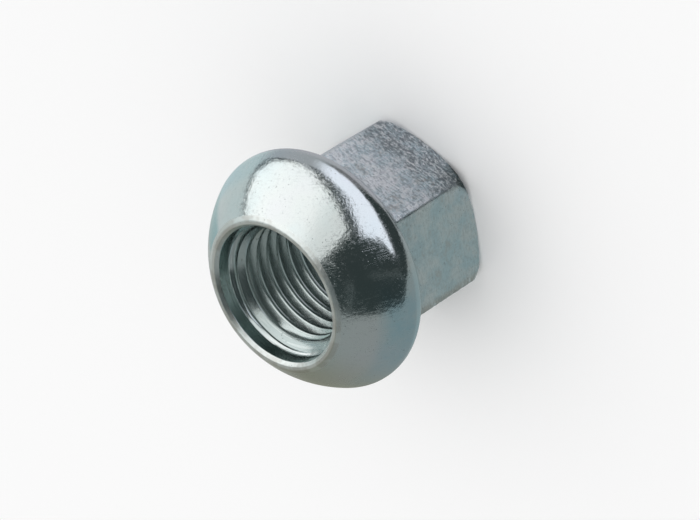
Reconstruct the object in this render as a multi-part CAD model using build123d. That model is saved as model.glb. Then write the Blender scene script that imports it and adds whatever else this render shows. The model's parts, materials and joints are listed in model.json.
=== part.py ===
from build123d import *
from math import acos, cos, degrees, radians, sin, sqrt, tan
import os

# Open wheel nut with a ball seat, cold-forged and tapped as one piece of steel.
# Frame: millimetres, origin at the centre of the hexagon's end face, +Z along the bore to the ball
# seat and the mouth. A corner of the hexagon points along +X.

# Driving sizes
overall_length = 20.8
across_flats = 18.7           # hexagon for a 19 mm spanner, forged at the low side of its tolerance
hexagon_edge_radius = 0.3     # rounding that the forging die leaves along the six edges
end_face_diameter = 18.1
end_chamfer_slope = 30.0      # degrees that the end chamfer leans from the end face
end_chamfer_height = 0.72
corner_relief_slope = 20.0    # degrees from the axis: the steep facet that blunts each corner
corner_relief_height = 1.45
seat_radius = 14.0            # ball that the wheel's cup is cut for
seat_edge_angle = 64.5        # degrees from the axis, where the ball seat gives way to the rim
rim_radius = 2.7              # rounding of the collar's widest edge
shoulder_slope = 39.0         # degrees that the collar's back leans from a flat shoulder
lip_diameter = 16.4           # flat ring in front, where the ball seat starts
lip_edge_radius = 0.4
mouth_chamfer = 0.35
counterbore_diameter = 14.9
counterbore_depth = 1.7
entry_slope = 45.0            # degrees between the entry chamfer and the axis
exit_chamfer_diameter = 14.6
exit_slope = 45.0             # degrees between the exit chamfer and the axis
thread_diameter = 14.0        # M14 x 1.5; this solid has the tapping bore, not the thread's turns
thread_pitch = 1.5
thread_depth_share = 1.0825   # an ISO thread's major less its minor diameter, in pitches

# Sizes that follow
minor_radius = (thread_diameter - thread_depth_share * thread_pitch) / 2
counterbore_radius = counterbore_diameter / 2
lip_radius = lip_diameter / 2
hexagon_inradius = across_flats / 2
seat_centre_z = overall_length - sqrt(seat_radius**2 - lip_radius**2)
rim_centre_r = (seat_radius - rim_radius) * sin(radians(seat_edge_angle))
rim_centre_z = seat_centre_z + (seat_radius - rim_radius) * cos(radians(seat_edge_angle))
collar_radius = rim_centre_r + rim_radius
back_angle = shoulder_slope - 90
back_r = rim_centre_r + rim_radius * cos(radians(back_angle))
back_z = rim_centre_z + rim_radius * sin(radians(back_angle))
root_z = back_z - (back_r - hexagon_inradius) * tan(radians(shoulder_slope))


def turned(*lines):
    """Solid of revolution about Z of the closed half section that the lines bound."""
    section = make_face(Plane.XZ * Wire([edge for line in lines for edge in line.edges()]))
    return revolve(section, Axis.Z)


def collar():
    """Lip, ball seat, rounded rim and leaning back, down to inside the hexagon."""
    lip_angle = degrees(acos(lip_radius / seat_radius))
    rim_angle = 90 - seat_edge_angle
    seat = CenterArc((0, seat_centre_z), seat_radius, rim_angle, lip_angle - rim_angle)
    rim = CenterArc((rim_centre_r, rim_centre_z), rim_radius, back_angle, rim_angle - back_angle)
    back = Polyline((back_r, back_z), (hexagon_inradius, root_z), (0, root_z), (0, overall_length))
    front = Line((0, overall_length), (lip_radius, overall_length))
    seam_to_mid_flat = Rot(Z=30)
    return seam_to_mid_flat * turned(front, seat, rim, back)


def hexagon():
    """Spanner hexagon with a chamfered end and a steep relief facet at each corner."""
    outline = RegularPolygon(hexagon_inradius, 6, major_radius=False)
    outline = fillet(outline.vertices(), hexagon_edge_radius)
    prism = extrude(outline, rim_centre_z)
    end_r = end_face_diameter / 2
    relief_r = end_r + end_chamfer_height / tan(radians(end_chamfer_slope))
    relief_z = end_chamfer_height + corner_relief_height
    corner_r = relief_r + corner_relief_height * tan(radians(corner_relief_slope))
    envelope = Polyline(
        (0, 0),
        (end_r, 0),
        (relief_r, end_chamfer_height),
        (corner_r, relief_z),
        (2 * collar_radius, relief_z),
        (2 * collar_radius, overall_length),
        (0, overall_length),
        (0, 0),
    )
    return prism & turned(envelope)


def bore():
    """Counterbore, entry chamfer, tapping bore and exit chamfer, as the space they clear."""
    step_z = overall_length - counterbore_depth
    entry_z = step_z - (counterbore_radius - minor_radius) / tan(radians(entry_slope))
    exit_r = exit_chamfer_diameter / 2
    exit_z = (exit_r - minor_radius) / tan(radians(exit_slope))
    section = Polyline(
        (0, 0),
        (exit_r, 0),
        (minor_radius, exit_z),
        (minor_radius, entry_z),
        (counterbore_radius, step_z),
        (counterbore_radius, overall_length),
        (0, overall_length),
        (0, 0),
    )
    return turned(section)


def front_rings(shape):
    """The round edges of the flat front face, from the mouth out to the lip."""
    front_face = shape.faces().filter_by(Axis.Z).sort_by(Axis.Z)[-1]
    return front_face.edges().sort_by(SortBy.LENGTH)


def lug_nut():
    nut = collar() + hexagon() - bore()
    nut = fillet(front_rings(nut)[-1], lip_edge_radius)
    return chamfer(front_rings(nut)[0], mouth_chamfer)


os.makedirs("parts", exist_ok=True)
export_step(lug_nut(), "parts/lug_nut.step")
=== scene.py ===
import json
import math
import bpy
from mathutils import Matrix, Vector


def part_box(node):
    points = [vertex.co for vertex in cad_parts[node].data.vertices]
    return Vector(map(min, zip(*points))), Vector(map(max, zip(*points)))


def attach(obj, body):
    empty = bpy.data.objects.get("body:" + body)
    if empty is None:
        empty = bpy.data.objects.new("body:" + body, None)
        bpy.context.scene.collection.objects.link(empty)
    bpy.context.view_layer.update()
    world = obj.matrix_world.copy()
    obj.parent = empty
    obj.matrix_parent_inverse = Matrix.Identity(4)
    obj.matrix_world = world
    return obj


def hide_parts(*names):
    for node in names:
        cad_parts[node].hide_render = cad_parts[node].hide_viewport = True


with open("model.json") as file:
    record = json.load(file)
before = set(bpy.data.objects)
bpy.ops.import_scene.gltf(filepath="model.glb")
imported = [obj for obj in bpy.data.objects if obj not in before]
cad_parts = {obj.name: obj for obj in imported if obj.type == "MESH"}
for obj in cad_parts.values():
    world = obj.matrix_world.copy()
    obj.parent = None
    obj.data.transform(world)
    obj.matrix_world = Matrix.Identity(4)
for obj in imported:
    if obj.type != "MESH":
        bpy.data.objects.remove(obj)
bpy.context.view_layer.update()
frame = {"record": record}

from types import SimpleNamespace

import bpy
from mathutils import Matrix, Vector, noise

# A zinc-plated wheel nut, standing on its hexagon with the ball seat and the mouth upwards.
# Lengths are metres; MM turns a length in millimetres into metres.
MM = 0.001
node_high = Vector(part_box("lug_nut")[1])
mounts = {mount["name"]: mount for mount in frame["record"]["mounts"]}

# ---------------------------------------------------------------- sizes of the nut
LENGTH = node_high.z
MINOR_R = mounts["stud_thread"]["dims"]["r_mm"] * MM
COUNTERBORE_R = mounts["counterbore"]["dims"]["r_mm"] * MM
COUNTERBORE_DEPTH = 1.7 * MM
FLAT_R = 9.35 * MM               # half the width across flats
HEX_EDGE_R = 0.3 * MM
HALF_FLAT = math.pi / 6          # half the angle that one flat takes
END_FACE_R = 9.05 * MM
END_CHAMFER_HEIGHT = 0.72 * MM
END_CHAMFER_SLOPE = math.radians(30)
RELIEF_SLOPE = math.radians(20)
SEAT_R = 14.0 * MM
SEAT_EDGE = math.radians(64.5)
RIM_R = 2.7 * MM
SHOULDER_SLOPE = math.radians(39)
LIP_R = 8.2 * MM
LIP_EDGE_R = 0.4 * MM
MOUTH_EDGE = 0.35 * MM
EXIT_R = 7.3 * MM

STEP_Z = LENGTH - COUNTERBORE_DEPTH      # the counterbore ends and the entry chamfer starts
SEAT_Z = LENGTH - math.sqrt(SEAT_R**2 - LIP_R**2)
RIM_CENTRE_R = (SEAT_R - RIM_R) * math.sin(SEAT_EDGE)
RIM_CENTRE_Z = SEAT_Z + (SEAT_R - RIM_R) * math.cos(SEAT_EDGE)
RELIEF_R = END_FACE_R + END_CHAMFER_HEIGHT / math.tan(END_CHAMFER_SLOPE)

# thread, which only this mesh has
PITCH = 1.5 * MM
ROOT_R = 7.15 * MM               # the rounded root of the thread lies a little outside 14 mm
THREAD_PHASE = -0.02             # turns
CHAMFER_GROOVE = 0.16 * MM       # how deep the thread's run-out cuts the entry chamfer
GROOVE_FADE = 0.4 * MM           # how far under the step that groove reaches this depth
GROOVE_TOP = 0.6                 # share of the pitch where that groove's upper edge lies
CREST_SOFTNESS = 0.25 * MM       # rounding where the entry chamfer meets the thread's crest
RUN_OUT = 1.3 / MM               # growth of the depth under the chamfer, over the distance squared
THREAD_STEPS = (                 # share of the pitch along the axis, share of the depth
    (0.11, 0.0), (0.145, 0.05), (0.19, 0.17), (0.44, 0.93), (0.5, 1.0),
    (0.56, 0.93), (0.62, 0.75), (0.81, 0.17), (0.855, 0.05), (0.89, 0.0),
)

# small blends
ROOT_FILLET = 0.35 * MM
RELIEF_BLEND = 0.25 * MM
END_BLEND = 0.2 * MM
MOUTH_BLEND = 0.15 * MM
LEAST_RELIEF = 0.05 * MM         # height that the corner relief keeps in the middle of a flat
LEAST_INSET = 0.01 * MM          # and how far it leans in there
BEND_ROOM = 0.42                 # share of a straight run that a bend may take
CRISP_STEP = 0.07 * MM           # short step beside a bend, which keeps the shading crisp
CRISP_MOST = 0.25                # share of a run that such a step may take

# wear of the hexagon; the names in WAVES are scales of its noise, per millimetre
DENT_DEPTH = 0.035 * MM
DENT_WAVES = 0.9
FINE_DENT_WAVES = 2.1
FINE_DENT_SHARE = 0.5
NICK_DEPTH = 0.13 * MM           # chips along the hexagon's edges
NICK_REACH = math.radians(2.0)
NICK_WAVES = 1.5
NICK_SHIFT = Vector((31, 7, 0))  # keeps the chips apart from the dents
NICK_GAIN = 1.8
NICK_GAP = 0.25                  # noise that leaves the edge whole
WEAR_FADE = 0.5 * MM             # the wear grows over this height at both ends of a flat
WEAR_CLEAR = 0.4 * MM            # and stays this far under the collar

# points of the mesh along each run of the outline
LIP_FACE_STEPS = 2
LIP_EDGE_STEPS = 6
SEAT_STEPS = 34
RIM_STEPS = 24
BEND_STEPS = 4
BACK_STEPS = [4, 34, 2, 2, 4]    # shoulder, flat, corner relief, chamfer, end face
MOUTH_STEPS = [2, 3]             # mouth edge, counterbore wall
WELD_DIGITS = 9                  # points of a column less than a nanometre apart are one vertex


# ---------------------------------------------------------------- outline in the half plane
def arc(centre_r, centre_z, radius, start, end, steps):
    """Points of an arc in the (r, z) half plane, angles from the +r axis."""
    angles = [start + (end - start) * i / steps for i in range(steps + 1)]
    return [Vector((centre_r + radius * math.cos(a), centre_z + radius * math.sin(a))) for a in angles]


def between(start, end, steps):
    """Points inside a straight run, with a short first and last step."""
    edge = min(CRISP_STEP / max((end - start).length, CRISP_STEP), CRISP_MOST)
    shares = [edge + (1 - 2 * edge) * i / steps for i in range(steps + 1)]
    return [start.lerp(end, share) for share in shares]


def rounded_corner(before, corner, after, radius):
    """Curve that rounds the corner between two straight runs, as far as the runs have room."""
    back, ahead = before - corner, after - corner
    reach = radius / math.tan(back.angle(ahead) / 2)
    reach = min(reach, BEND_ROOM * back.length, BEND_ROOM * ahead.length)
    first = corner + back.normalized() * reach
    last = corner + ahead.normalized() * reach
    shares = [i / BEND_STEPS for i in range(BEND_STEPS + 1)]
    return [first.lerp(corner, t).lerp(corner.lerp(last, t), t) for t in shares]


def broken_line(corners, radii, steps):
    """A run of straight lines with every inner corner rounded; the count never changes."""
    points = [corners[0]]
    start = corners[0]
    for i, radius in enumerate(radii):
        bend = rounded_corner(corners[i], corners[i + 1], corners[i + 2], radius)
        points += between(start, bend[0], steps[i]) + bend
        start = bend[-1]
    return points + between(start, corners[-1], steps[-1]) + [corners[-1]]


def from_corner(angle):
    """Angle from the hexagon's nearest corner, negative on one side of it."""
    return (angle + HALF_FLAT) % (2 * HALF_FLAT) - HALF_FLAT


def hexagon_r(angle):
    """Distance from the axis to the hexagon with rounded edges, at that angle."""
    off_corner = from_corner(angle)
    centre = (FLAT_R - HEX_EDGE_R) / math.cos(HALF_FLAT)
    round_end = math.atan2(HEX_EDGE_R / 2, centre + HEX_EDGE_R * math.cos(HALF_FLAT))
    if abs(off_corner) < round_end:
        side = centre * math.sin(off_corner)
        return centre * math.cos(off_corner) + math.sqrt(HEX_EDGE_R**2 - side**2)
    return FLAT_R / math.cos(HALF_FLAT - abs(off_corner))


def front_outline():
    """Lip, ball seat and rim, from the mouth to where the straight shoulder starts."""
    lip_centre_z = LENGTH - LIP_EDGE_R
    lip_centre_r = math.sqrt((SEAT_R - LIP_EDGE_R) ** 2 - (lip_centre_z - SEAT_Z) ** 2)
    seat_start = math.atan2(lip_centre_z - SEAT_Z, lip_centre_r)
    seat_end = math.pi / 2 - SEAT_EDGE
    rim_end = SHOULDER_SLOPE - math.pi / 2
    mouth = Vector((COUNTERBORE_R + MOUTH_EDGE, LENGTH))
    points = [mouth] + between(mouth, Vector((lip_centre_r, LENGTH)), LIP_FACE_STEPS)
    points += arc(lip_centre_r, lip_centre_z, LIP_EDGE_R, math.pi / 2, seat_start, LIP_EDGE_STEPS)
    points += arc(0, SEAT_Z, SEAT_R, seat_start, seat_end, SEAT_STEPS)[1:]
    points += arc(RIM_CENTRE_R, RIM_CENTRE_Z, RIM_R, seat_end, rim_end, RIM_STEPS)[1:]
    return points


def wear(angle, point):
    """How far the hexagon's surface is knocked in at a point: shallow dents, and chips at the edges."""
    spot = Vector((point.x * math.cos(angle), point.x * math.sin(angle), point.y)) / MM
    uneven = noise.noise(spot * DENT_WAVES) + FINE_DENT_SHARE * noise.noise(spot * FINE_DENT_WAVES)
    dent = DENT_DEPTH * max(uneven, 0.0)
    at_edge = max(1 - abs(from_corner(angle)) / NICK_REACH, 0.0)
    knocked = noise.noise(spot * NICK_WAVES + NICK_SHIFT) * NICK_GAIN - NICK_GAP
    chip = NICK_DEPTH * at_edge * max(knocked, 0.0)
    return dent + chip


def back_outline(angle, back):
    """Shoulder, flat, corner relief, chamfer and end face at that angle, down to the exit edge."""
    flat = hexagon_r(angle)
    root = Vector((flat, back.y - (back.x - flat) * math.tan(SHOULDER_SLOPE)))
    if flat > RELIEF_R:
        relief_top = Vector((flat, END_CHAMFER_HEIGHT + (flat - RELIEF_R) / math.tan(RELIEF_SLOPE)))
        chamfer_top = Vector((RELIEF_R, END_CHAMFER_HEIGHT))
    else:
        # away from the corners the flat cuts the end chamfer short, below the relief
        chamfer_z = (flat - END_FACE_R) * math.tan(END_CHAMFER_SLOPE)
        relief_top = Vector((flat, chamfer_z + LEAST_RELIEF))
        chamfer_top = Vector((flat - LEAST_INSET, chamfer_z))
    corners = [back, root, relief_top, chamfer_top, Vector((END_FACE_R, 0)), Vector((EXIT_R, 0))]
    line = broken_line(corners, [ROOT_FILLET, RELIEF_BLEND, RELIEF_BLEND, END_BLEND], BACK_STEPS)
    low, high = relief_top.y, root.y - WEAR_CLEAR
    for point in line:
        fade = min((point.y - low) / WEAR_FADE, (high - point.y) / WEAR_FADE, 1.0)
        if fade > 0:
            point.x -= wear(angle, point) * fade
    return line


def bore_r(z, along, depth):
    """Radius of the bore at a height, where the thread is that far along its pitch and that deep."""
    # both chamfers lean 45 degrees, so each changes its radius by as much as its height
    cone = COUNTERBORE_R - (STEP_Z - z)
    exit_cut = EXIT_R - z
    entry = min(0.5 * (cone + MINOR_R + math.hypot(cone - MINOR_R, CREST_SOFTNESS)), COUNTERBORE_R)
    if z in (0.0, STEP_Z):
        return max(entry, exit_cut)
    # the run-out stays shallow on the chamfer and reaches full depth under it
    from_step = min((STEP_Z - z) / GROOVE_FADE, 1.0)
    groove = CHAMFER_GROOVE * from_step * depth if along < GROOVE_TOP else 0.0
    deepest = entry + groove + RUN_OUT * max(MINOR_R - cone, 0.0) ** 2
    thread = min(MINOR_R + (ROOT_R - MINOR_R) * depth, deepest)
    return max(thread, entry, exit_cut)


def bore_outline(angle):
    """Bore at that angle, in rows that follow the helix, from the counterbore to the end face."""
    points = []
    # the turns reach past both ends, and the rows out there fold onto the step or the end face
    for turn in range(int(STEP_Z / PITCH) + 3, -2, -1):
        for along, depth in reversed(THREAD_STEPS):
            z = (turn + along + THREAD_PHASE + angle / math.tau - 1) * PITCH
            z = min(max(z, 0.0), STEP_Z)
            points.append(Vector((bore_r(z, along, depth), z)))
    return points


def counterbore_outline():
    """Mouth edge and counterbore wall, from the lip's face down to the step."""
    mouth = Vector((COUNTERBORE_R + MOUTH_EDGE, LENGTH))
    corner = Vector((COUNTERBORE_R, LENGTH - MOUTH_EDGE))
    return broken_line([mouth, corner, Vector((COUNTERBORE_R, STEP_Z))], [MOUTH_BLEND], MOUTH_STEPS)


def column_angles():
    """Angles of the mesh's columns: close at the hexagon's edges, even along its flats."""
    # degrees from a corner to the middle of a flat
    at_edge = [0.0, 0.3, 0.55, 0.8, 1.1, 1.6]
    along_flat = [2.4 + 1.2 * i for i in range(24)]
    half = at_edge + along_flat
    sector = half + [60 - a for a in reversed(half[1:-1])]
    return [math.radians(60 * k + a) for k in range(6) for a in sector]


def build_nut():
    """Closed mesh of the nut: an outline for every column, joined side by side."""
    verts, faces, known = [], [], {}

    def index_of(column, angle, point):
        key = (column, round(point.x, WELD_DIGITS), round(point.y, WELD_DIGITS))
        if key not in known:
            known[key] = len(verts)
            verts.append((point.x * math.cos(angle), point.x * math.sin(angle), point.y))
        return known[key]

    front = front_outline()
    counterbore = counterbore_outline()
    columns = []
    for column, angle in enumerate(column_angles()):
        strips = [front + back_outline(angle, front[-1])[1:], bore_outline(angle), counterbore]
        columns.append([[index_of(column, angle, p) for p in strip] for strip in strips])

    def join(left, right, shift, turned):
        """Faces between two neighbouring strips; rows on the right come shift rows earlier."""
        for j in range(len(left) - 1):
            quad = [left[j], left[j + 1], right[max(j + 1 - shift, 0)], right[max(j - shift, 0)]]
            ring = [v for k, v in enumerate(quad) if v not in quad[:k]]
            if len(ring) > 2:
                faces.append(ring[::-1] if turned else ring)

    for i, (outer, bore, wall) in enumerate(columns):
        next_outer, next_bore, next_wall = columns[(i + 1) % len(columns)]
        # once round, the helix has risen by one pitch
        shift = len(THREAD_STEPS) if i == len(columns) - 1 else 0
        join(outer, next_outer, 0, False)
        join(bore, next_bore, shift, True)
        join(wall, next_wall, 0, True)

    mesh = bpy.data.meshes.new("nut_body")
    mesh.from_pydata(verts, [], faces)
    mesh.validate()
    mesh.polygons.foreach_set("use_smooth", [True] * len(mesh.polygons))
    nut = bpy.data.objects.new("nut_body", mesh)
    bpy.context.scene.collection.objects.link(nut)
    return nut


# ---------------------------------------------------------------- node trees
class Field:
    """A value in a node tree; arithmetic on it adds Math nodes."""

    def __init__(self, graph, socket):
        self.graph = graph
        self.socket = socket

    def math(self, operation, *others):
        return self.graph.math(operation, self, *others)

    def __add__(self, other):
        return self.math("ADD", other)

    def __sub__(self, other):
        return self.math("SUBTRACT", other)

    def __mul__(self, other):
        return self.math("MULTIPLY", other)

    def __truediv__(self, other):
        return self.math("DIVIDE", other)

    def inverse(self):
        """1 where the value is 0, and 0 where it is 1."""
        return self.graph.math("SUBTRACT", 1.0, self)

    def above(self, edge, soft):
        """1 where the value is above the edge and 0 below, smooth over twice the softness."""
        step = (self - edge) / (2.0 * soft) + 0.5
        node = self.graph.node("ShaderNodeMapRange", {"Value": step}, interpolation_type="SMOOTHSTEP")
        return self.graph.field(node.outputs["Result"])

    def below(self, edge, soft):
        return self.above(edge, soft).inverse()

    def curve(self, points):
        """Straight lines through (value, result) points."""
        xs, ys = [p[0] for p in points], [p[1] for p in points]
        low, high = min(ys), max(ys)
        share = (self - xs[0]) / (xs[-1] - xs[0])
        node = self.graph.node("ShaderNodeFloatCurve", {"Value": share})
        line = node.mapping.curves[0]
        for i, (x, y) in enumerate(points):
            at = ((x - xs[0]) / (xs[-1] - xs[0]), (y - low) / (high - low))
            if i < 2:
                line.points[i].location = at
            else:
                line.points.new(*at)
        for point in line.points:
            point.handle_type = "VECTOR"
        node.mapping.update()
        return self.graph.field(node.outputs[0]) * (high - low) + low


class Graph:
    """Short calls that add nodes to a tree and link them."""

    def __init__(self, tree):
        self.tree = tree
        tree.nodes.clear()

    def connect(self, value, target):
        """Link a field or a socket to the target socket, or write a plain value on it."""
        if isinstance(value, Field):
            value = value.socket
        if isinstance(value, bpy.types.NodeSocket):
            self.tree.links.new(value, target)
        else:
            target.default_value = value

    def node(self, kind, inputs=None, **settings):
        made = self.tree.nodes.new(kind)
        for name, value in settings.items():
            setattr(made, name, value)
        for socket, value in (inputs or {}).items():
            self.connect(value, made.inputs[socket])
        return made

    def field(self, socket):
        return Field(self, socket)

    def math(self, operation, *values):
        node = self.node("ShaderNodeMath", dict(enumerate(values)), operation=operation)
        return self.field(node.outputs[0])

    def split(self, vector):
        outputs = self.node("ShaderNodeSeparateXYZ", {0: vector}).outputs
        return [self.field(output) for output in outputs]

    def noise(self, vector, scale, detail, roughness):
        node = self.node("ShaderNodeTexNoise", {
            "Vector": vector, "Scale": scale, "Detail": detail, "Roughness": roughness,
        })
        return self.field(node.outputs[0])

    def cells(self, vector, scale):
        """Distance to the nearest of scattered points, as a share of the cells' size."""
        node = self.node("ShaderNodeTexVoronoi", {"Vector": vector, "Scale": scale})
        return self.field(node.outputs["Distance"])

    def stretched(self, vector, scale, turn=(0.0, 0.0, 0.0), shift=(0.0, 0.0, 0.0)):
        """The vector scaled, then turned and moved; the smaller the scale, the longer the pattern."""
        node = self.node("ShaderNodeMapping", {
            "Vector": vector, "Rotation": turn, "Scale": scale, "Location": shift,
        })
        return node.outputs[0]

    def mix(self, factor, first, second):
        """Colour between two colours; each is three numbers or a socket."""
        node = self.node("ShaderNodeMix", data_type="RGBA")
        for name, value in (("Factor", factor), ("A", first), ("B", second)):
            target = [socket for socket in node.inputs if socket.name == name and socket.enabled][0]
            self.connect((*value, 1.0) if isinstance(value, tuple) else value, target)
        return [socket for socket in node.outputs if socket.enabled][0]

    def layers(self, base, *layers):
        """Colours laid over a base in turn; each layer is (mask, colour)."""
        for mask, colour in layers:
            base = self.mix(mask, base, colour)
        return base


def new_material(name):
    material = bpy.data.materials.new(name)
    material.use_nodes = True
    return material, Graph(material.node_tree)


# ---------------------------------------------------------------- finish of the nut
# Heights and radii in this part are millimetres, and azimuths are degrees from +X.
STEP_MM = STEP_Z / MM
COUNTERBORE_MM = COUNTERBORE_R / MM
HEXAGON_TOP = 11.3               # the hexagon's corners run into the collar here
RIM_FROM, RIM_TO = 12.6, 17.4    # heights that the blue tint round the rim lies between
RIM_INSIDE = 10.9                # and the radius where it starts

# how battered each of the six flats is
FLAT_WEAR = [
    (-180, 0.7), (-150, 0.5), (-121, 0.5),
    (-119, 0.25), (-61, 0.25),
    (-59, 0.7), (-1, 0.7),
    (1, 0.4), (59, 0.4),
    (61, 0.12), (119, 0.12),
    (121, 1.0), (179, 1.0), (180, 0.7),
]
# strength of the blue tint round the rim
RIM_TINT = [
    (-180, 0.05), (-150, 0.35), (-125, 1.0), (-105, 0.15), (0, 0.0), (22, 0.1),
    (50, 0.5), (76, 0.75), (88, 0.6), (102, 0.0), (180, 0.05),
]
# the hairlines' three directions: turn, shift, and the scale of the patches that they show in
HAIRLINES = (
    ((0.3, 0.9, 0.4), 0.0, 0.35), ((1.2, 0.2, 2.0), 7.0, 0.49), ((2.1, 1.4, 0.9), 13.0, 0.61),
)
PALE = (0.97, 0.98, 0.98)


def nut_zones(graph, spot):
    """Where on the nut a spot in millimetres lies: masks from 0 to 1, its height and its azimuth."""
    x, y, z = graph.split(spot)
    radius = (x * x + y * y).math("SQRT")
    azimuth = y.math("ARCTAN2", x).math("DEGREES")
    bore = radius.below(COUNTERBORE_MM + 0.02, 0.03) * z.below((LENGTH - MOUTH_EDGE) / MM, 0.05)
    thread = radius.below(COUNTERBORE_MM - 0.25, 0.15) * z.below(STEP_MM - 0.3, 0.2)
    hexagon = z.below(HEXAGON_TOP, 0.5) * bore.inverse()
    lip = z.above((LENGTH - LIP_EDGE_R) / MM + 0.08, 0.08) * thread.inverse()
    # a whole turn and half a flat are added, because MODULO of a negative number is negative
    off_corner = ((azimuth + 390.0).math("MODULO", 60.0) - 30.0).math("ABSOLUTE")
    return SimpleNamespace(
        z=z,
        azimuth=azimuth,
        bore=bore,
        thread=thread,
        hexagon=hexagon,
        lip=lip,
        battered=azimuth.curve(FLAT_WEAR) * hexagon,
        ball=hexagon.inverse() * bore.inverse() * lip.inverse(),
        edge=hexagon * off_corner.below(3.0, 2.0),
        rim=z.above(RIM_FROM, 0.8) * z.below(RIM_TO, 1.0) * radius.above(RIM_INSIDE, 0.6),
        counterbore=bore * z.above(STEP_MM + 0.03, 0.03),
        turned=bore * z.above(STEP_MM - 1.4, 0.2),
    )


def hairlines(graph, spot):
    """Sparse scratches in three directions."""
    total = None
    for turn, shift, patch_scale in HAIRLINES:
        drawn = graph.stretched(spot, (6.0, 0.07, 0.07), turn, (shift, shift, 0.0))
        thin = (graph.noise(drawn, 1.0, 1.0, 0.5) - 0.5).math("ABSOLUTE").below(0.006, 0.005)
        lines = thin * graph.noise(spot, patch_scale, 1.0, 0.5).above(0.56, 0.03)
        total = lines if total is None else total + lines
    return total


def zinc_patterns(graph, spot):
    """Noise patterns that the relief, colour and roughness of the finish share."""
    blotches = graph.noise(spot, 0.42, 3.0, 0.6)
    mottle = graph.noise(spot, 3.0, 5.0, 0.75)
    streaks = graph.noise(graph.stretched(spot, (0.5, 0.5, 1.3), (0.18, 0.12, 0.0)), 3.4, 4.0, 0.7)
    return SimpleNamespace(
        waves=graph.noise(spot, 0.55, 2.0, 0.5),
        grain=graph.noise(spot, 3.2, 4.0, 0.65),
        ripple=graph.noise(spot, 2.6, 2.0, 0.55),
        hammered=graph.noise(graph.stretched(spot, (1.0, 1.0, 0.5), (0.5, 0.9, 0.2)), 2.4, 2.5, 0.6),
        marks=graph.noise(graph.stretched(spot, (1.0, 1.0, 0.04)), 5.0, 1.0, 0.5),
        rings=graph.noise(graph.stretched(spot, (0.03, 0.03, 1.0)), 3.4, 1.0, 0.5),
        tint=graph.noise(spot, 0.16, 2.0, 0.5),
        tint_fine=graph.noise(spot, 0.45, 3.0, 0.6),
        blotches=blotches,
        streaks=streaks,
        strokes=mottle * 0.4 + streaks * 0.6,
        pits=graph.cells(spot, 2.2).below(0.11, 0.04) * blotches.above(0.48, 0.05),
        speckle=mottle.below(0.42, 0.05) * (blotches * 2.4 - 0.5).math("MAXIMUM", 0.55),
        spots=graph.cells(spot, 0.9).below(0.12, 0.04) * blotches.above(0.5, 0.04),
        scratches=hairlines(graph, spot),
    )


def zinc_height(at, pattern):
    """Relief in millimetres: forging waves, plate grain, hammered flats, turned rings, pits, scratches."""
    rough_flat = at.battered * (pattern.blotches * 1.6 - 0.3).math("MAXIMUM", 0.15)
    height = pattern.waves * 0.010 + pattern.grain * (at.thread * 0.007 + 0.0042)
    height = height + pattern.hammered * rough_flat * 0.12
    height = height + pattern.streaks * (at.edge * 0.05 + at.battered * 0.05)
    height = height + pattern.ripple * (at.ball * (pattern.blotches * 0.030 - 0.002) + at.lip * 0.02)
    height = height + pattern.rings * at.turned * 0.014
    return height - pattern.pits * 0.012 - pattern.scratches * (at.battered * 0.003 + 0.0015)


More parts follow.
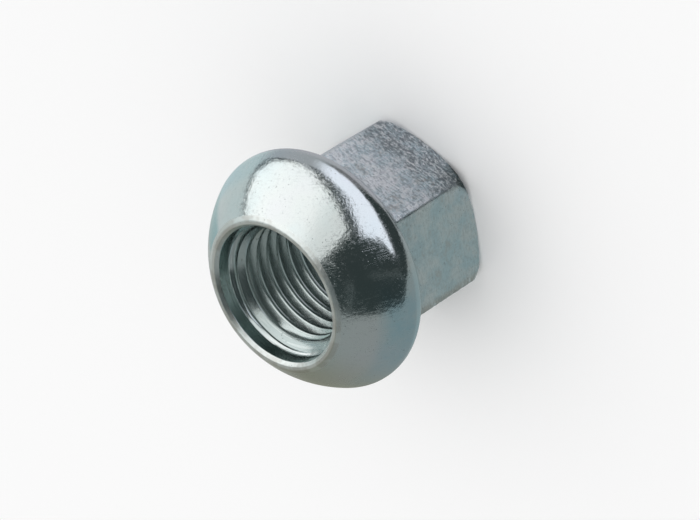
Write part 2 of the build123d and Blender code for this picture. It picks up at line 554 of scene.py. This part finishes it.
def zinc_colour(graph, at, pattern):
    """Neutral zinc with thin tints of clear blue passivation, and worn, dull and stained places; the lip
    ring and flecks along the hexagon's edges are painted lighter, as painted highlights.
    """
    blotches, strokes, tint_fine = pattern.blotches, pattern.strokes, pattern.tint_fine
    # the battered flats: darker towards the end face, with dull and bright strokes and long marks
    darker_end = (at.z + blotches * 8.0).below(8.6, 2.0)
    dull = at.battered * strokes.below(0.47, 0.016) * (darker_end * 0.5 + 0.5)
    bright = at.battered * strokes.above(0.535, 0.02)
    drawn = at.battered * pattern.marks.above(0.57, 0.03) * blotches.above(0.52, 0.04)
    # the smoother flats, and the pale flecks along all edges of the hexagon, which are painted glints
    faint = at.hexagon * at.battered.inverse() * strokes.below(0.46, 0.03)
    cloud = at.hexagon * tint_fine.above(0.5, 0.12)
    edge_glint = at.edge * strokes.above(0.53, 0.05) * blotches.above(0.47, 0.06)
    # blue tints of the passivation on the rim and on one sector of the ball
    rim_blue = at.rim * (at.azimuth.curve(RIM_TINT) * (tint_fine * 1.5 + 0.1))
    seat_sector = at.azimuth.above(-132.0, 5.0) * at.azimuth.below(-112.0, 5.0)
    seat_blue = at.ball * seat_sector * (tint_fine + 0.65)
    # brown stains, wear of the lip and dark turned rings
    stain = at.hexagon * tint_fine.above(0.57, 0.05) * blotches.below(0.48, 0.08)
    stained_corner = at.azimuth.above(56.0, 2.0) * at.azimuth.below(68.0, 2.0)
    edge_stain = at.edge * stained_corner * tint_fine.above(0.42, 0.06)
    lip_wear = at.lip * tint_fine.above(0.5, 0.08)
    rings = at.turned * pattern.rings.below(0.42, 0.025)
    return graph.layers(
        (0.74, 0.765, 0.76),
        (pattern.tint.above(0.58, 0.10) * 0.5, (0.68, 0.77, 0.78)),
        (pattern.tint.below(0.42, 0.10) * 0.5, (0.75, 0.745, 0.775)),
        (at.battered * 0.95, (0.97, 0.975, 0.99)),
        (darker_end * at.battered * 0.95, (0.36, 0.395, 0.41)),
        (cloud * 0.7, (0.55, 0.70, 0.75)),
        (dull * 0.9, (0.24, 0.265, 0.28)),
        (bright * 0.75, PALE),
        (drawn * 0.35, (0.55, 0.57, 0.62)),
        (faint * 0.2, (0.50, 0.54, 0.55)),
        # pale flecks along the hexagon's edges: painted glints
        (edge_glint * 0.6, PALE),
        (at.ball * pattern.speckle * 0.35, (0.60, 0.63, 0.64)),
        (at.counterbore * 0.75, (0.50, 0.66, 0.63)),
        # the lip ring painted lighter: a painted highlight
        (at.lip * 0.6, (0.84, 0.86, 0.84)),
        (stain * 0.45, (0.60, 0.52, 0.46)),
        (lip_wear * 0.55, (0.56, 0.545, 0.51)),
        (rim_blue, (0.42, 0.66, 0.76)),
        (seat_blue, (0.40, 0.58, 0.60)),
        (at.thread * 0.8, (0.57, 0.63, 0.62)),
        (rings * 0.4, (0.36, 0.42, 0.42)),
        (at.hexagon * pattern.spots * 0.45, (0.34, 0.37, 0.38)),
        (pattern.scratches * at.hexagon * 0.4, (0.45, 0.50, 0.52)),
        (edge_stain * 0.5, (0.50, 0.42, 0.34)),
        (pattern.pits * 0.6, (0.30, 0.32, 0.32)),
    )


def zinc_roughness(at, pattern):
    """Lowest on the ball; the hexagon, the bore, the lip and the ball's specks are rougher."""
    rough = pattern.blotches * 0.08 + 0.085 + at.hexagon * 0.10 + at.battered * 0.12
    rough = rough + at.thread * 0.08 + at.bore * 0.03 + at.lip * 0.22
    return rough + at.ball * pattern.speckle * 0.18


def zinc_plate():
    """Bright zinc plate over forged steel: polished seat, rough flats, dull threads."""
    material, graph = new_material("zinc_plate_dressed")
    local = graph.node("ShaderNodeTexCoord").outputs["Object"]
    spot = graph.node("ShaderNodeVectorMath", {0: local, "Scale": 1 / MM}, operation="SCALE").outputs[0]
    at = nut_zones(graph, spot)
    pattern = zinc_patterns(graph, spot)
    bump = graph.node("ShaderNodeBump", {
        "Strength": 1.0, "Distance": MM, "Height": zinc_height(at, pattern),
    })
    shader = graph.node("ShaderNodeBsdfPrincipled", {
        "Base Color": zinc_colour(graph, at, pattern),
        "Metallic": 1.0,
        "Roughness": zinc_roughness(at, pattern),
        "Normal": bump.outputs[0],
    })
    graph.node("ShaderNodeOutputMaterial", {"Surface": shader.outputs["BSDF"]})
    return material


# ---------------------------------------------------------------- camera
CAMERA_AZIMUTH = 122.44          # degrees, as the next two
CAMERA_ELEVATION = 39.68
CAMERA_ROLL = -122.64
CAMERA_DISTANCE = 0.5174
CAMERA_TARGET = Vector((0.81, 0.78, 10.13)) * MM
CAMERA_LENS = 264.96             # millimetres, as the sensor's width
SENSOR_WIDTH = 36.0
CLIP_START = 10 * MM


def direction(azimuth, elevation):
    """Unit vector at an azimuth from the camera's, anticlockwise from above, and an elevation."""
    a, e = math.radians(CAMERA_AZIMUTH + azimuth), math.radians(elevation)
    return Vector((math.cos(a) * math.cos(e), math.sin(a) * math.cos(e), math.sin(e)))


def add_camera():
    roll = math.radians(CAMERA_ROLL)
    towards = direction(0, CAMERA_ELEVATION)
    level = Vector((0, 0, 1)).cross(towards).normalized()
    upright = towards.cross(level)
    right = level * math.cos(roll) + upright * math.sin(roll)
    up = towards.cross(right)
    turn = Matrix((right, up, towards)).transposed().to_4x4()
    data = bpy.data.cameras.new("camera")
    data.lens = CAMERA_LENS
    data.sensor_width = SENSOR_WIDTH
    data.clip_start = CLIP_START
    camera = bpy.data.objects.new("camera", data)
    camera.matrix_world = Matrix.Translation(CAMERA_TARGET + towards * CAMERA_DISTANCE) @ turn
    bpy.context.scene.collection.objects.link(camera)
    bpy.context.scene.camera = camera


# ---------------------------------------------------------------- studio
# The tent and the table card are seen in reflections only. Their panels are given in degrees:
# azimuth from the camera's, and elevation seen from 12 mm up, on the nut's axis for the tent and
# on the nut's side for the table card.
TENT_RADIUS = 450 * MM
SEEN_FROM_Z = 12 * MM
SEEN_FROM_R = 11 * MM
LEAST_REACH = 1 * MM
CARD_LIFT = 0.1 * MM             # keeps the card just above the floor
SHADOW_FOOT_R = 11.6 * MM               # reach of the dark patch at the nut's foot, a painted contact shadow
FLOOR_HALF = 3.0
FLOOR_COLOUR = (0.96, 0.96, 0.96)

# left and right edges of panels, as (elevation, azimuth)
BOX_LEFT = [(-30, 14), (26, 14), (32, 12), (50, 9.5), (62, 6), (90, 4)]
BOX_RIGHT = [(-30, 117), (0, 119), (12, 121), (25, 124), (90, 128)]
FLAG_LEFT = [
    (-70, -25), (-45, -30), (-30, -38), (-22, -41), (-12, -48),
    (0, -60), (10, -65), (30, -73), (47, -79), (90, -79),
]
# upper and lower edges of panels, as (azimuth, elevation)
BOX_LOW = [
    (-10, 34), (8, 31), (20, 28), (40, 19.5), (60, 11),
    (78, 2.5), (90, -2), (105, -5), (119, -3), (130, -3),
]
FLAG_TOP = [(-90, 46), (-80, 50), (-70, 57), (-50, 63), (-25, 67), (0, 66), (8, 61), (20, 50)]
FLAG_LOW = [(-80, -78), (8, -78), (28, -48), (45, -14), (60, -5), (84, -2), (100, 0)]
STRIP_TOP = [
    (-40, -12), (-28, -1), (-20, 4.5), (-10, 12.5), (0, 22.5), (10, 22.5),
    (25, 17), (45, 8), (62, 2), (80, -4), (100, -10),
]
STRIP_LOW = [(-40, -4), (-22, -8), (-8, -13), (2, -18), (14, -27), (35, -36), (80, -42)]
# how far the pale foot of the table card reaches, as (azimuth, millimetres from the axis)
NEAR_CARD = [
    (-180, 24), (-60, 22), (-25, 18.5), (-8, 13.5), (12, 13.5),
    (24, 17), (52, 18), (74, 22), (180, 24),
]


def grey_walls(graph, azimuth, elevation):
    """Walls of the studio, lightest just past the softbox."""
    low_patch = elevation.below(-32.0, 6.0) * azimuth.above(14.0, 6.0) * azimuth.below(62.0, 9.0)
    return graph.layers(
        (0.28, 0.312, 0.31),
        (azimuth.below(-135.0, 25.0), (0.24, 0.25, 0.20)),
        (azimuth.above(60.0, 45.0), (0.42, 0.44, 0.47)),
        (azimuth.above(112.0, 10.0), (0.60, 0.67, 0.67)),
        (azimuth.above(160.0, 15.0), (0.40, 0.41, 0.39)),
        (azimuth.below(-165.0, 12.0), (0.40, 0.41, 0.39)),
        (low_patch, (0.17, 0.175, 0.18)),
    )


def studio_light(graph, azimuth, elevation):
    """Colour of the light from a direction: a softbox, a lower strip, a black flag and grey walls."""
    box_low = azimuth.curve(BOX_LOW)
    box_right = elevation.curve(BOX_RIGHT)
    flag = azimuth.above(elevation.curve(FLAG_LEFT), 1.2) * azimuth.below(84.0, 6.0)
    flag = flag * elevation.below(azimuth.curve(FLAG_TOP), 1.5)
    flag = flag * elevation.above(azimuth.curve(FLAG_LOW), 3.0)
    box = azimuth.above(elevation.curve(BOX_LEFT), 0.8) * azimuth.below(box_right, 0.8)
    box = box * elevation.above(box_low, 0.8)
    box_rim = azimuth.above(box_right, 0.5) * azimuth.below(box_right + 3.6, 0.6)
    box_rim = box_rim * elevation.above(-4.0, 1.0)
    under_box = elevation.below(box_low, 0.6) * elevation.above(box_low - 4.0, 0.8)
    under_box = under_box * azimuth.above(84.0, 5.0) * azimuth.below(119.0, 1.0)
    strip = elevation.below(azimuth.curve(STRIP_TOP), 1.0)
    strip = strip * elevation.above(azimuth.curve(STRIP_LOW), 5.0)
    strip = strip * azimuth.above(-22.0, 2.0) * azimuth.below(64.0, 10.0)
    seam = elevation.above(azimuth * 0.06 + 48.5, 0.5) * elevation.below(azimuth * 0.06 + 50.5, 1.0)
    seam = seam * azimuth.above(-74.0, 4.0) * azimuth.below(-36.0, 3.0)
    fold = azimuth.above(elevation * 0.22 - 42.0, 1.5) * azimuth.below(elevation * 0.22 - 39.0, 1.5)
    fold = fold * elevation.above(-12.0, 6.0) * elevation.below(30.0, 6.0)
    box_light = graph.mix(azimuth.above(70.0, 50.0), (1.08, 1.11, 1.1), (1.24, 1.27, 1.26))
    box_light = graph.mix(azimuth.below(44.0, 16.0), box_light, (0.82, 0.86, 0.85))
    return graph.layers(
        grey_walls(graph, azimuth, elevation),
        (elevation.above(66.0, 3.0), (0.09, 0.11, 0.11)),
        (flag, (0.034, 0.046, 0.046)),
        (seam, (0.13, 0.15, 0.15)),
        (fold * 0.8, (0.12, 0.14, 0.14)),
        (under_box, (0.05, 0.06, 0.065)),
        (box, box_light),
        (box_rim, (0.05, 0.06, 0.06)),
        (strip, (1.0, 1.05, 1.15)),
    )


def table_light(graph, azimuth, radius, z):
    """Light of the table card, where z doesn't change: the studio's, and a pale foot near the nut, with a
    painted contact shadow right at the foot.
    """
    reach = (radius - SEEN_FROM_R).math("MAXIMUM", LEAST_REACH)
    elevation = graph.math("ARCTAN2", -SEEN_FROM_Z, reach).math("DEGREES")
    far = studio_light(graph, azimuth, elevation)
    near = graph.mix(azimuth.above(0.0, 30.0), (0.32, 0.37, 0.37), (0.44, 0.45, 0.48))
    # a dark patch at the nut's foot: painted contact shadow
    foot = radius.below(SHADOW_FOOT_R, 0.5 * MM) * azimuth.above(-12.0, 2.0) * azimuth.below(12.0, 2.0)
    near = graph.mix(foot, near, (0.04, 0.05, 0.05))
    return graph.mix(radius.below(azimuth.curve(NEAR_CARD) * MM, 1.5 * MM), far, near)


def tent_light(graph, azimuth, radius, z):
    """Light of the tent: the studio's, by the elevation of each point."""
    elevation = (z - SEEN_FROM_Z).math("ARCTAN2", radius).math("DEGREES")
    return studio_light(graph, azimuth, elevation)


def stage_mesh(name, verts, faces, material):
    mesh = bpy.data.meshes.new(name)
    mesh.from_pydata(verts, [], faces)
    mesh.materials.append(material)
    item = bpy.data.objects.new(name, mesh)
    bpy.context.scene.collection.objects.link(item)
    return item


def reflection_card(name, verts, faces, light):
    """Glowing surface that only reflections see; light() gives the colour of each of its points."""
    material, graph = new_material(name)
    x, y, z = graph.split(graph.node("ShaderNodeNewGeometry").outputs["Position"])
    front = direction(0, 0)
    ahead, aside = x * front.x + y * front.y, y * front.x - x * front.y
    azimuth = aside.math("ARCTAN2", ahead).math("DEGREES")
    radius = (x * x + y * y).math("SQRT")
    shader = graph.node("ShaderNodeEmission", {"Color": light(graph, azimuth, radius, z), "Strength": 1.0})
    graph.node("ShaderNodeOutputMaterial", {"Surface": shader.outputs["Emission"]})
    item = stage_mesh(name, verts, faces, material)
    item.visible_camera = False
    item.visible_diffuse = False
    item.visible_shadow = False
    item.visible_volume_scatter = False


def add_tent():
    """Half sphere of panels round the nut."""
    around, up = 48, 12
    rings = [[j * around + i for i in range(around)] for j in range(up)]
    angles = [(360 * i / around, 90 * j / up) for j in range(up) for i in range(around)]
    verts = [direction(*pair) * TENT_RADIUS for pair in angles + [(0, 90)]]
    top = len(verts) - 1
    faces = []
    for low, high in zip(rings, rings[1:]):
        faces += [(low[i - 1], low[i], high[i], high[i - 1]) for i in range(around)]
    faces += [(rings[-1][i - 1], rings[-1][i], top) for i in range(around)]
    reflection_card("studio_tent", verts, faces, tent_light)


def add_table_card():
    """Card round the nut's foot, with the lower ends of the panels on it."""
    around = 64
    lift = Vector((0, 0, CARD_LIFT))
    verts = [lift] + [direction(360 * i / around, 0) * TENT_RADIUS + lift for i in range(around)]
    faces = [(0, 1 + i, 1 + (i + 1) % around) for i in range(around)]
    reflection_card("table_card", verts, faces, table_light)


def matte(name, colour):
    """Plain matte surface for the floor."""
    material, graph = new_material(name)
    shader = graph.node("ShaderNodeBsdfPrincipled", {
        "Base Color": (*colour, 1.0), "Roughness": 0.9, "Specular IOR Level": 0.0,
    })
    graph.node("ShaderNodeOutputMaterial", {"Surface": shader.outputs["BSDF"]})
    return material


def add_studio():
    corners = [(-1, -1), (1, -1), (1, 1), (-1, 1)]
    verts = [(x * FLOOR_HALF, y * FLOOR_HALF, 0) for x, y in corners]
    stage_mesh("floor", verts, [(0, 1, 2, 3)], matte("floor", FLOOR_COLOUR))
    add_tent()
    add_table_card()
    world = bpy.data.worlds.new("studio")
    world.use_nodes = True
    graph = Graph(world.node_tree)
    sky = graph.node("ShaderNodeBackground", {"Color": (1.0, 1.0, 1.0, 1.0), "Strength": 1.0})
    graph.node("ShaderNodeOutputWorld", {"Surface": sky.outputs[0]})
    bpy.context.scene.world = world


add_camera()
nut = build_nut()
nut.data.materials.append(zinc_plate())
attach(nut, "root")
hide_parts("lug_nut")
add_studio()
bpy.context.scene.view_settings.view_transform = "Standard"
